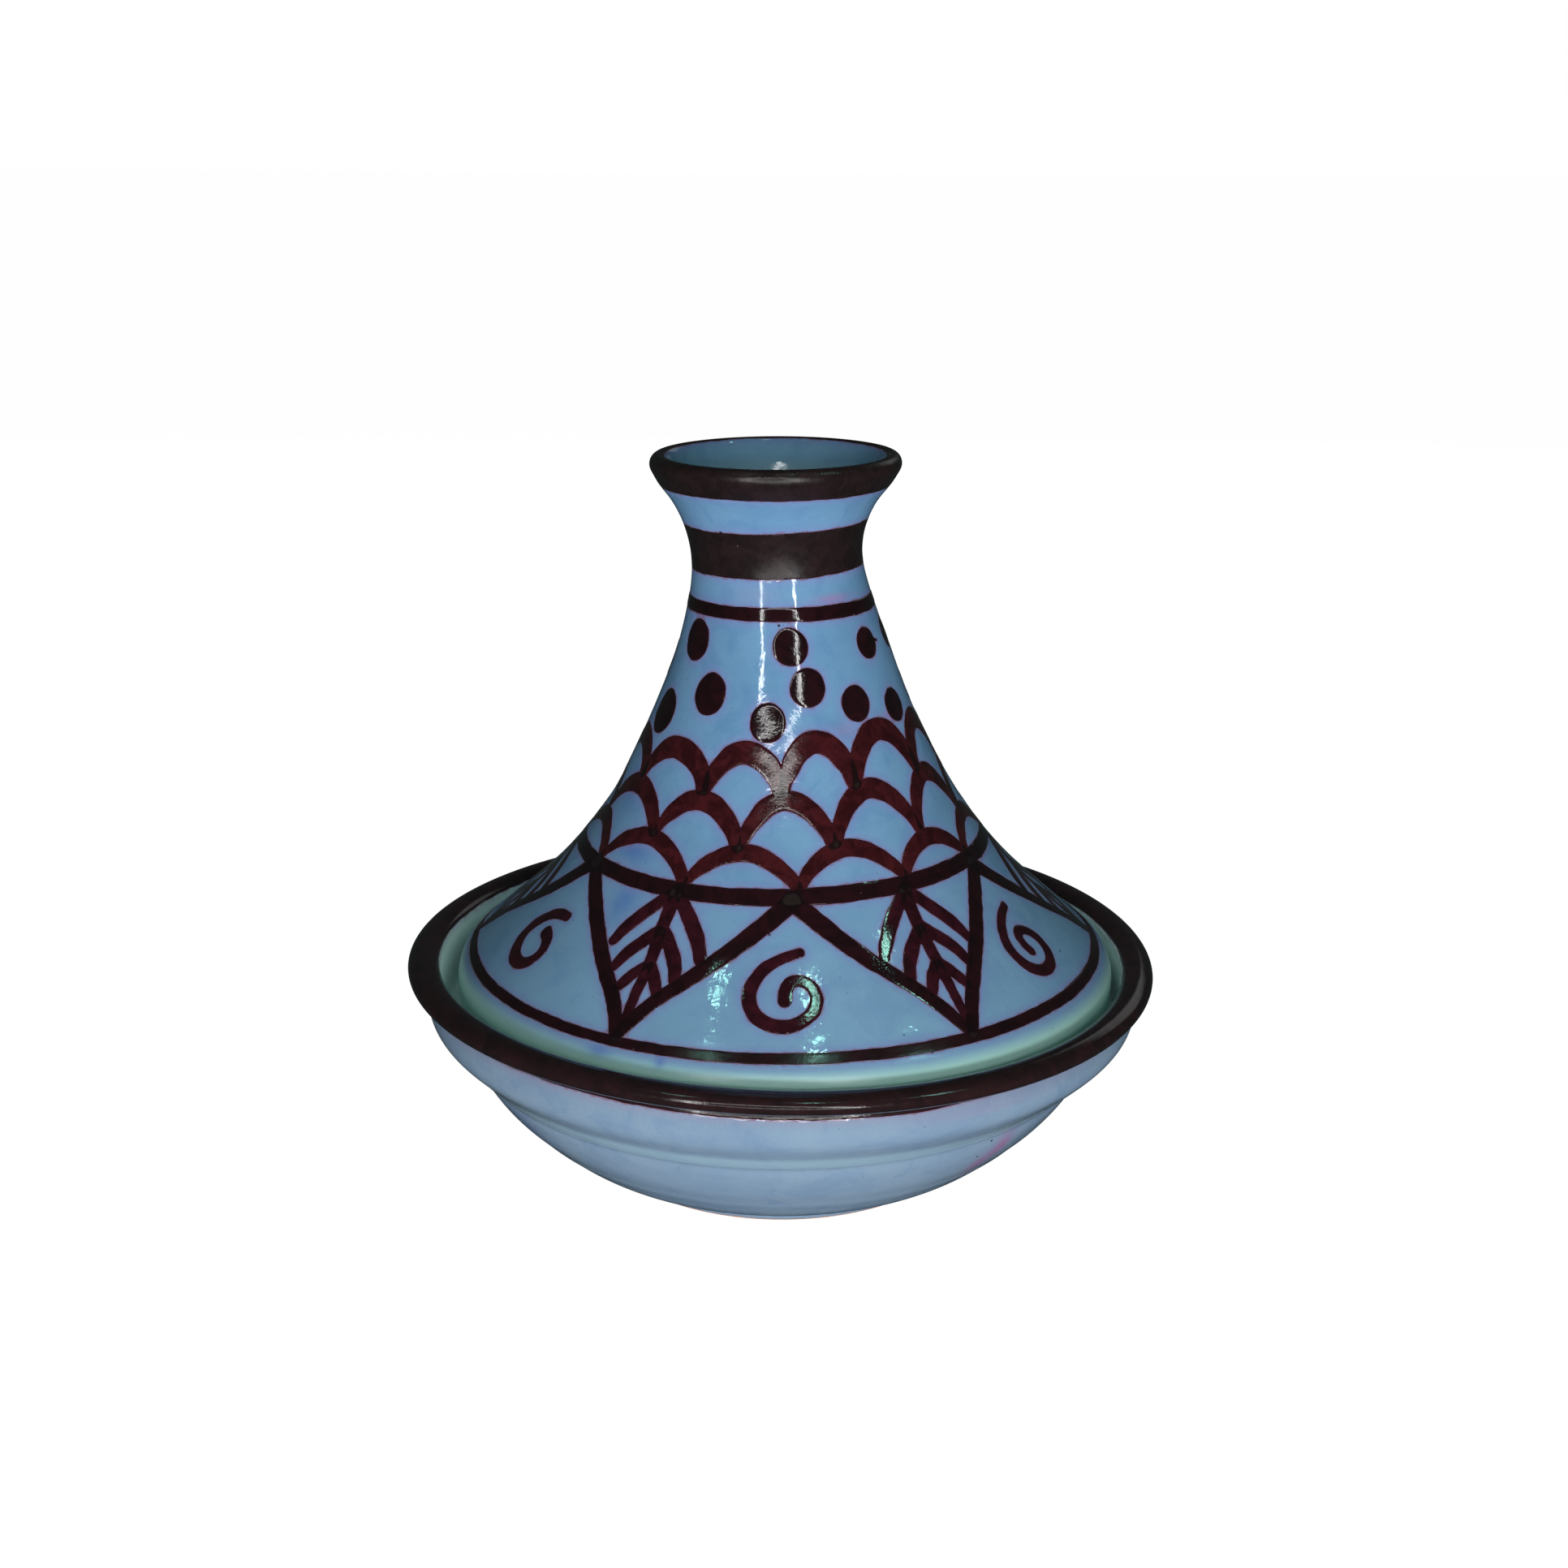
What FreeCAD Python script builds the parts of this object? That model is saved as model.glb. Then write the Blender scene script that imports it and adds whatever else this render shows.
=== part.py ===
"""A small hand-thrown tagine: a glazed earthenware dish and its conical lid with a cup on top.

Millimetres, +Z up. The origin is the middle of the foot ring's flat underside, and both pieces are
turned about Z. Each outline is drawn as (radius, height) in the half-plane X > 0 and then revolved.
"""
import FreeCAD, Part
import math
import os

# Driving dimensions of the dish
RIM_RADIUS = 100.0  # outermost point of the lip
LIP_HEIGHT = 55.2  # middle of the lip above the table
LIP_HALF_WIDTH = 4.2
LIP_HALF_THICKNESS = 2.6
FOOT_RADIUS = 50.0
FOOT_HEIGHT = 3.0
FOOT_RING_WIDTH = 7.0
FOOT_RECESS = 2.0
FLOOR_THICKNESS = 5.5  # of the dish's floor, above the recess
CREASE = (83.4, 31.5)  # outside corner where the bowl meets the flared gallery wall
LEDGE_HEIGHT = 41.0  # flat ledge that carries the lid
LEDGE_INNER_RADIUS = 79.5
LEDGE_OUTER_RADIUS = 88.6
LEDGE_FILLET = 2.2
LEDGE_BEVEL = 1.2  # of the ledge's inner corner
FOOT_BEVEL = 0.8

# Driving dimensions of the lid
LID_RADIUS = 88.0  # widest point of its rolled rim
LID_WALL = 5.4
LID_ROLL_HEIGHT = 53.6  # height of the widest point
LID_FOOT_INNER = 82.2  # the flat edge that stands on the ledge
LID_FOOT_OUTER = 85.0
LID_FOOT_BEVEL = (1.6, 2.6)  # inside the edge it stands on: radial and upright
WAIST_RADIUS = 22.2
WAIST_HEIGHT = 165.0
CUP_RADIUS = 32.3  # outermost point of the cup's rim
CUP_RIM_HEIGHT = 187.8  # height of the middle of that rim
CUP_RIM_HALF_WIDTH = 2.4
CUP_RIM_HALF_THICKNESS = 2.6
CUP_FLOOR_HEIGHT = 165.5
CROWN_THICKNESS = 7.5  # clay between the cup's floor and the hollow of the cone

SPLINE_LEAD = 1.0  # how far a curve first keeps to the direction given at its end
AXIS_START = FreeCAD.Vector(0, 0, 0)
AXIS = FreeCAD.Vector(0, 0, 1)


def point(place):
    """The place (radius, height) as a point of the drawing plane."""
    return FreeCAD.Vector(place[0], 0, place[1])


def line(start, end):
    return Part.LineSegment(point(start), point(end)).toShape()


def arc(start, middle, end):
    return Part.Arc(point(start), point(middle), point(end)).toShape()


def spline(places, leave=None, arrive=None):
    """A smooth curve through the places. leave and arrive are directions at its ends."""
    points = [point(place) for place in places]
    if leave:
        points.insert(1, points[0] + point(leave).normalize() * SPLINE_LEAD)
    if arrive:
        points.insert(-1, points[-1] - point(arrive).normalize() * SPLINE_LEAD)
    curve = Part.BSplineCurve()
    curve.interpolate(Points=points)
    return curve


def bead(centre, half_width, half_thickness, start_degrees, end_degrees):
    """Part of an ellipse round a rim. 0 degrees is outwards and 90 is up."""
    side = (centre[0] + half_width, centre[1])
    top = (centre[0], centre[1] + half_thickness)
    if half_width >= half_thickness:
        ellipse = Part.Ellipse(point(side), point(top), point(centre))
        turn = 0.0
    else:
        far_side = (centre[0] - half_width, centre[1])
        ellipse = Part.Ellipse(point(top), point(far_side), point(centre))
        turn = 90.0
    start, end = (math.radians(degrees - turn) for degrees in (start_degrees, end_degrees))
    return Part.ArcOfEllipse(ellipse, start, end)


def end_of(curve, at_start=False):
    """(place, direction) of a curve at one of its ends, along the way it runs."""
    parameter = curve.FirstParameter if at_start else curve.LastParameter
    place = curve.value(parameter)
    direction = curve.tangent(parameter)[0]
    return (place.x, place.z), (direction.x, direction.z)


def inset(curve, thickness, count, first=0.0, last=1.0):
    """Places a wall's thickness inside a curve that has the clay on its left, evenly along it."""
    places = []
    for step in range(count):
        share = first + (last - first) * step / (count - 1)
        parameter = curve.FirstParameter + share * (curve.LastParameter - curve.FirstParameter)
        on_curve = curve.value(parameter)
        along = curve.tangent(parameter)[0]
        places.append((on_curve.x - along.z * thickness, on_curve.z + along.x * thickness))
    return places


def turned(edges):
    """The solid of revolution of a closed outline."""
    wire = Part.Wire(Part.__sortEdges__(edges))
    return Part.Face(wire).revolve(AXIS_START, AXIS, 360)


def dish():
    foot_inner = FOOT_RADIUS - FOOT_RING_WIDTH
    recess = [
        line((0, FOOT_RECESS), (foot_inner - FOOT_RECESS, FOOT_RECESS)),
        line((foot_inner - FOOT_RECESS, FOOT_RECESS), (foot_inner, 0)),
        line((foot_inner, 0), (FOOT_RADIUS - FOOT_BEVEL, 0)),
        line((FOOT_RADIUS - FOOT_BEVEL, 0), (FOOT_RADIUS, FOOT_BEVEL)),
        line((FOOT_RADIUS, FOOT_BEVEL), (FOOT_RADIUS, FOOT_HEIGHT)),
    ]
    bowl = spline(
        [(FOOT_RADIUS, FOOT_HEIGHT), (58.6, 6.2), (67.8, 12.6), (75.9, 20.4), (81.2, 27.2), CREASE],
        leave=(1.0, 0.16),
    )
    lip = bead(
        (RIM_RADIUS - LIP_HALF_WIDTH, LIP_HEIGHT), LIP_HALF_WIDTH, LIP_HALF_THICKNESS, -112, 190
    )
    lip_start, _ = end_of(lip, at_start=True)
    lip_end, lip_arrives = end_of(lip)
    gallery_outside = spline(
        [CREASE, (87.4, 35.4), (91.4, 39.3), (94.5, 43.0), (95.4, 46.4), (95.1, 49.6), lip_start],
        leave=(1.0, 1.0),
    )
    fillet_top = (LEDGE_OUTER_RADIUS + LEDGE_FILLET, LEDGE_HEIGHT + LEDGE_FILLET)
    gallery_inside = spline([lip_end, (91.0, 49.5), fillet_top], leave=lip_arrives, arrive=(0, -1))
    slant = LEDGE_FILLET * (1 - math.sqrt(0.5))
    fillet = arc(
        fillet_top,
        (fillet_top[0] - slant, LEDGE_HEIGHT + slant),
        (LEDGE_OUTER_RADIUS, LEDGE_HEIGHT),
    )
    ledge_edge = (LEDGE_INNER_RADIUS + LEDGE_BEVEL, LEDGE_HEIGHT)
    hollow_start = (LEDGE_INNER_RADIUS, LEDGE_HEIGHT - LEDGE_BEVEL)
    floor = FOOT_RECESS + FLOOR_THICKNESS
    hollow = spline(
        [
            hollow_start,
            (77.0, 34.0),
            (71.5, 25.2),
            (63.0, 16.6),
            (52.0, 10.6),
            (38.0, floor + 0.6),
            (0, floor),
        ],
        leave=(0, -1),
        arrive=(-1, 0),
    )
    return turned(
        recess
        + [bowl.toShape(), gallery_outside.toShape(), lip.toShape(), gallery_inside.toShape(), fillet]
        + [
            line((LEDGE_OUTER_RADIUS, LEDGE_HEIGHT), ledge_edge),
            line(ledge_edge, hollow_start),
            hollow.toShape(),
            line((0, floor), (0, FOOT_RECESS)),
        ]
    )


def lid():
    rim = bead(
        (CUP_RADIUS - CUP_RIM_HALF_WIDTH, CUP_RIM_HEIGHT),
        CUP_RIM_HALF_WIDTH,
        CUP_RIM_HALF_THICKNESS,
        -40,
        190,
    )
    rim_start, rim_leaves = end_of(rim, at_start=True)
    rim_end, rim_arrives = end_of(rim)
    skirt = spline(
        [(LID_FOOT_OUTER, LEDGE_HEIGHT), (87.0, 44.0), (LID_RADIUS, LID_ROLL_HEIGHT)],
        leave=(1.0, 0.25),
        arrive=(0, 1),
    )
    outside = spline(
        [
            (LID_RADIUS, LID_ROLL_HEIGHT),
            (86.8, 57.1),
            (83.8, 60.1),
            (74.3, 68.4),
            (64.6, 77.1),
            (55.2, 87.6),
            (46.5, 99.6),
            (39.1, 113.4),
            (32.7, 127.4),
            (27.5, 141.4),
            (23.9, 153.4),
            (WAIST_RADIUS, WAIST_HEIGHT),
            (24.7, 175.2),
            (27.5, 180.0),
            (29.8, 182.9),
            rim_start,
        ],
        leave=(0, 1),
        arrive=rim_leaves,
    )
    hollow_top = CUP_FLOOR_HEIGHT - CROWN_THICKNESS
    hollow_start = (LID_FOOT_INNER - LID_FOOT_BEVEL[0], LEDGE_HEIGHT + LID_FOOT_BEVEL[1])
    hollow = spline(
        [hollow_start, (80.4, 50.5)]
        + inset(outside, LID_WALL, 10, 0.12, 0.7),
        leave=(0, 1),
    )
    (dome_radius, dome_foot), _ = end_of(hollow)
    dome = bead((0, dome_foot), dome_radius, hollow_top - dome_foot, 0, 90)
    cup = spline(
        [rim_end, (24.6, 182.0), (20.8, 176.4), (16.8, 170.6), (11.5, 166.7), (0, CUP_FLOOR_HEIGHT)],
        leave=rim_arrives,
        arrive=(-1, 0),
    )
    return turned(
        [
            line((LID_FOOT_INNER, LEDGE_HEIGHT), (LID_FOOT_OUTER, LEDGE_HEIGHT)),
            skirt.toShape(),
            outside.toShape(),
            rim.toShape(),
            cup.toShape(),
            line((0, CUP_FLOOR_HEIGHT), (0, hollow_top)),
            hollow.toShape(),
            dome.toShape(),
            line(hollow_start, (LID_FOOT_INNER, LEDGE_HEIGHT)),
        ]
    )


def main():
    os.makedirs("parts", exist_ok=True)
    for name, shape in (("base_dish", dish()), ("conical_lid", lid())):
        box = shape.BoundBox
        print(name, shape.ShapeType, shape.isValid(), round(shape.Volume / 1000, 1), "cm3", box)
        shape.exportStep(f"parts/{name}.step")


main()
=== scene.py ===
"""The looks of a small glazed tagine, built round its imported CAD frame.

The pot is two thrown pieces, a dish and a conical lid. Each is drawn here as one wall turned about Z,
slightly out of true as thrown pots are, and stands for its CAD node. The brushed decoration is a set of
thin raised films on the walls: every mark is a signed distance to its edge, cut out of a fine grid.
Drawing sizes are millimetres. Angles are degrees round the pot from the side facing the camera.
"""
import math

import bpy
import numpy as np
from mathutils import Matrix, Vector


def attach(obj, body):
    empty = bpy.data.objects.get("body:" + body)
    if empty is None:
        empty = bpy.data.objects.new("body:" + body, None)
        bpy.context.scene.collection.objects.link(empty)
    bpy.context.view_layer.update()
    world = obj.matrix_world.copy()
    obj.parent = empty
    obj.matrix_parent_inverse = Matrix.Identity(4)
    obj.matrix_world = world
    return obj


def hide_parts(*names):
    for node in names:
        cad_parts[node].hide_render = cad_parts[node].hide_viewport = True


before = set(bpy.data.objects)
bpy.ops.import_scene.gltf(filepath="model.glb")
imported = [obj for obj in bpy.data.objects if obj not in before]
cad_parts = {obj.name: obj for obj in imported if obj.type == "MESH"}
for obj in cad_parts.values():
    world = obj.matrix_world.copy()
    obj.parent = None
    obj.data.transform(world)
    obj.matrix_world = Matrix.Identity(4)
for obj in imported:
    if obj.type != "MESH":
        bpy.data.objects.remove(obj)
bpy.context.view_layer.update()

MM = 0.001
SEED = 7

# Dish
LIP = dict(centre=(95.8, 55.2), half_width=4.2, half_thickness=2.6)
LEDGE_HEIGHT = 41.0
LEDGE_OUTER = 88.6
LEDGE_FILLET = 2.2
DISH_FLOOR = 7.5
FOOT_RADIUS = 50.0
CREASE = (83.4, 31.5)

# Lid
CUP_RIM = dict(centre=(29.9, 187.8), half_width=2.4, half_thickness=2.6)
LID_WIDEST = (88.0, 53.6)
LID_WALL = 5.4
CUP_FLOOR = 165.5
HOLLOW_TOP = 158.0

# Grids, and the films of paint that are cut out of them
SKIN_COLUMNS = 576  # of the glazed walls, round the whole pot
COLUMNS = 1152  # of the painted films
ROW = 0.45
NO_MARK = 9.0  # distance given to a place that is far from every mark
FILM_RISE = 0.022
FILM_STEP = 0.008  # how much higher each film lies than the one painted before it
FILM_SHOULDER = 0.55  # how far in from its edge a brush mark reaches its full height
FILM_SUNK = 0.05  # how far a film's hidden underside lies inside the wall


# ---------------------------------------------------------------- drawing walls

def smooth_through(places, spacing=0.5):
    """Points along a natural cubic spline through the places."""
    places = np.array(places, float)
    steps = np.hypot(*np.diff(places, axis=0).T)
    knots = np.concatenate([[0.0], np.cumsum(steps)])
    count = len(places)
    system = np.eye(count)
    right = np.zeros_like(places)
    slopes = np.diff(places, axis=0) / steps[:, None]
    for k in range(1, count - 1):
        system[k, k - 1 : k + 2] = steps[k - 1], 2 * (steps[k - 1] + steps[k]), steps[k]
        right[k] = 6 * (slopes[k] - slopes[k - 1])
    bend = np.linalg.solve(system, right)
    at = np.linspace(0, knots[-1], max(2, int(knots[-1] / spacing) + 1))
    piece = np.clip(np.searchsorted(knots, at, side="right") - 1, 0, count - 2)
    width = steps[piece][:, None]
    after = (at - knots[piece])[:, None]
    before = width - after
    curve = (bend[piece] * before**3 + bend[piece + 1] * after**3) / (6 * width)
    curve += (places[piece] / width - bend[piece] * width / 6) * before
    curve += (places[piece + 1] / width - bend[piece + 1] * width / 6) * after
    return curve


def bead(centre, half_width, half_thickness, start, end):
    """Points along an ellipse round a rim. 0 degrees is outwards and 90 is up."""
    angles = np.radians(np.linspace(start, end, 60))
    across = centre[0] + half_width * np.cos(angles)
    return np.stack([across, centre[1] + half_thickness * np.sin(angles)], 1)


def smooth_step(value, low, high):
    share = np.clip((value - low) / (high - low), 0, 1)
    return share * share * (3 - 2 * share)


class Waves:
    """Smooth noise between about -1 and 1, as a sum of plane waves in seeded directions."""

    def __init__(self, seed, wavelength, count=14):
        chance = np.random.default_rng(SEED * 1000 + seed)
        directions = chance.normal(size=(count, 3))
        directions /= np.linalg.norm(directions, axis=1)[:, None]
        lengths = wavelength * chance.uniform(0.7, 1.6, count)
        self.turns = directions * (2 * math.pi / lengths)[:, None]
        self.phase = chance.uniform(0, 2 * math.pi, count)
        self.share = math.sqrt(2 / count) * 0.7

    def at(self, points):
        total = np.zeros(points.shape[:-1])
        for turn, phase in zip(self.turns, self.phase):
            total += np.sin(points @ turn + phase)
        return total * self.share


class Wall:
    """A thrown wall, drawn as (radius, height) and placed by angle and by distance along the drawing.

    Distance is 0 at the place called zero and grows along the drawn line.
    """

    def __init__(self, line, zero, soften, uneven):
        line = np.array(line, float)
        kept = np.concatenate([[True], np.hypot(*np.diff(line, axis=0).T) > 1e-6])
        line = line[kept]
        travelled = np.concatenate([[0.0], np.cumsum(np.hypot(*np.diff(line, axis=0).T))])
        step = 0.1
        even = np.arange(0, travelled[-1], step)
        radius = np.interp(even, travelled, line[:, 0])
        height = np.interp(even, travelled, line[:, 1])
        reach = int(3 * soften / step)
        bell = np.exp(-0.5 * (np.arange(-reach, reach + 1) * step / soften) ** 2)
        bell /= bell.sum()
        mirrored = np.pad(radius, reach, mode="reflect", reflect_type="odd")
        self.radius = np.convolve(mirrored, bell, mode="valid")
        self.height = np.convolve(np.pad(height, reach, mode="reflect"), bell, mode="valid")
        nearest = np.argmin(np.hypot(self.radius - zero[0], self.height - zero[1]))
        self.along = even - even[nearest]
        self.out = np.gradient(self.height, step)
        self.up = -np.gradient(self.radius, step)
        length = np.hypot(self.out, self.up)
        self.out /= length
        self.up /= length
        self.uneven = uneven

    @property
    def ends(self):
        return self.along[0], self.along[-1]

    def radius_at(self, along):
        return np.interp(along, self.along, self.radius)

    def place(self, angle, along, lift=0.0):
        """Points in metres, lift millimetres off the wall."""
        radius = np.interp(along, self.along, self.radius)
        height = np.interp(along, self.along, self.height)
        out = np.interp(along, self.along, self.out)
        up = np.interp(along, self.along, self.up)
        turn = np.radians(angle)
        shift, swell, rise = self.uneven(turn, radius, height)
        radius = radius + out * lift + swell * np.clip(radius / 20, 0, 1)
        height = height + up * lift + rise
        across = radius * np.sin(turn) + shift
        back = -radius * np.cos(turn)
        return np.stack(np.broadcast_arrays(across, back, height), -1) * MM


def lid_out_of_true(turn, radius, height):
    """The lid leans a little to the left towards its top, and is faintly ridged and oval."""
    shift = 1.0 - 0.65 * smooth_step(height, 95, 125) - 2.5 * smooth_step(height, 138, 178)
    shift = shift + 0.2 * smooth_step(height, 178, 188)
    ridges = 0.008 * np.sin(height * 1.05 + 0.6 * np.sin(turn + 1.0) + np.sin(height * 0.31))
    fade = smooth_step(height, 58, 75)
    oval = 0.25 * np.cos(2 * turn + 0.7) + 0.12 * np.cos(3 * turn + height * 0.03)
    dents = 0.09 * np.sin(4 * turn + height * 0.12) * np.sin(height * 0.21 + turn)
    rise = 0.25 * np.sin(turn - 0.9) * smooth_step(height, 90, 170)
    return shift, (ridges + 0.8 * (oval + dents)) * fade, rise


def dish_out_of_true(turn, radius, height):
    """The dish's lip is lower on the right, and the gallery under it is drawn in more on the left."""
    outside = ((radius > 82.5) & (height < 40.6)) | (radius > 91.9)
    belt = outside * smooth_step(height, 32.5, 38.5) * (1 - smooth_step(height, 41, 50))
    swell = belt * 0.6 * np.clip(np.sin(turn), -0.9, 0.8)
    ridges = 0.05 * np.sin(height * 0.95 + 0.5 * np.sin(turn) + np.sin(height * 0.4))
    ridges = ridges * smooth_step(height, 4, 12) * (1 - smooth_step(height, 34, 40))
    lifted = smooth_step(height, 43, 54)
    rise = (-1.0 * np.sin(turn) - 0.5 * np.sin(2 * turn) - 0.3 * np.cos(turn)) * lifted
    return -0.15 * lifted, swell + ridges, rise


def lid_wall():
    skirt = smooth_through([(82.6, 41.0), (85.0, 41.0), (87.0, 44.0), (87.8, 49.0), LID_WIDEST])
    rim = bead(**CUP_RIM, start=-40, end=130)
    flank = smooth_through(
        [
            LID_WIDEST,
            (86.8, 57.1),
            (83.8, 60.1),
            (74.3, 68.4),
            (64.6, 77.1),
            (55.2, 87.6),
            (46.5, 99.6),
            (39.1, 113.4),
            (32.7, 127.4),
            (27.5, 141.4),
            (23.9, 153.4),
            (22.2, 165.0),
            (24.7, 175.2),
            (27.5, 180.0),
            (29.8, 182.9),
            tuple(rim[0]),
        ]
    )
    cup = smooth_through(
        [
            tuple(rim[-1]),
            (27.5, 188.0),
            (26.4, 185.7),
            (25.6, 183.6),
            (25.1, 182.2),
            (24.7, 181.0),
            (21.4, 176.4),
            (16.8, 170.6),
            (11.5, 166.7),
            (0, CUP_FLOOR),
        ]
    )
    along = np.gradient(flank, axis=0)
    along /= np.hypot(*along.T)[:, None]
    inside = flank + LID_WALL * np.stack([-along[:, 1], along[:, 0]], 1)
    kept = inside[(inside[:, 1] > 62) & (inside[:, 1] < 139) & (inside[:, 0] > 21)][::-12]
    hollow = smooth_through(
        [(0, HOLLOW_TOP), (8.0, 156.6), (15.5, 152.2), (20.6, 145.0)]
        + [tuple(place) for place in kept]
        + [(80.4, 50.5), (80.8, 43.4), (82.4, 41.2)]
    )
    line = np.concatenate([hollow, skirt, flank, rim, cup])
    return Wall(line, LID_WIDEST, 0.45, lid_out_of_true)


def dish_wall():
    lip = bead(**LIP, start=-112, end=190)
    bowl = smooth_through(
        [(FOOT_RADIUS, 3.0), (58.6, 6.2), (67.8, 12.6), (75.9, 20.4), (81.2, 27.2), CREASE]
    )
    gallery = smooth_through(
        [CREASE, (87.4, 35.4), (91.4, 39.3), (94.5, 43.0), (95.4, 46.4), (95.1, 49.6), tuple(lip[0])]
    )
    fillet_top = LEDGE_HEIGHT + LEDGE_FILLET
    seat = smooth_through([tuple(lip[-1]), (91.0, 49.5), (LEDGE_OUTER + LEDGE_FILLET, fillet_top)])
    corner = bead((LEDGE_OUTER, fillet_top), LEDGE_FILLET, LEDGE_FILLET, 0, -90)
    inside = smooth_through(
        [
            (79.5, 39.8),
            (77.0, 34.0),
            (71.5, 25.2),
            (63.0, 16.6),
            (52.0, 10.6),
            (38.0, 8.1),
            (20, DISH_FLOOR),
            (0, DISH_FLOOR),
        ]
    )
    recess = [(0, 2.0), (41.0, 2.0), (43.0, 0.0)]
    foot = np.array(recess + [(49.2, 0.0), (FOOT_RADIUS, 0.8), (FOOT_RADIUS, 3.0)])
    ledge = np.array([(LEDGE_OUTER, LEDGE_HEIGHT), (80.7, LEDGE_HEIGHT)])
    line = np.concatenate([foot, bowl, gallery, lip, seat, corner, ledge, inside])
    return Wall(line, CREASE, 0.4, dish_out_of_true)


# ---------------------------------------------------------------- meshes

def new_object(name, points, faces, body, material, attributes=None):
    mesh = bpy.data.meshes.new(name)
    mesh.from_pydata(points, [], faces)
    mesh.shade_smooth()
    for label, values in (attributes or {}).items():
        layer = mesh.attributes.new(label, "FLOAT", "POINT")
        layer.data.foreach_set("value", np.asarray(values, np.float32))
    mesh.materials.append(material)
    piece = bpy.data.objects.new(name, mesh)
    bpy.context.scene.collection.objects.link(piece)
    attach(piece, body)
    return piece


def lathe(wall, rows, columns):
    """Points, faces and (angle, along) of a wall that starts and ends on the axis."""
    angles = np.linspace(-180, 180, columns, endpoint=False)
    points = wall.place(angles[None, :], rows[1:-1, None]).reshape(-1, 3)
    index = np.arange(points.shape[0]).reshape(len(rows) - 2, columns)
    beside = np.roll(index, -1, axis=1)
    quads = np.stack([index[:-1], beside[:-1], beside[1:], index[1:]], -1).reshape(-1, 4)
    first, last = len(points), len(points) + 1
    poles = [wall.place(np.zeros(1), np.array([end]))[0] for end in (rows[0], rows[-1])]
    for pole in poles:
        pole[:2] = points[index[0] if pole is poles[0] else index[-1], :2].mean(0)
    faces = quads.tolist()
    faces += [[first, b, a] for a, b in zip(index[0].tolist(), beside[0].tolist())]
    faces += [[last, a, b] for a, b in zip(index[-1].tolist(), beside[-1].tolist())]
    places = np.stack(np.broadcast_arrays(angles[None, :], rows[1:-1, None]), -1).reshape(-1, 2)
    places = np.concatenate([places, [[0, rows[0]], [0, rows[-1]]]])
    return np.concatenate([points, poles]), faces, places


# ---------------------------------------------------------------- brush marks

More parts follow.
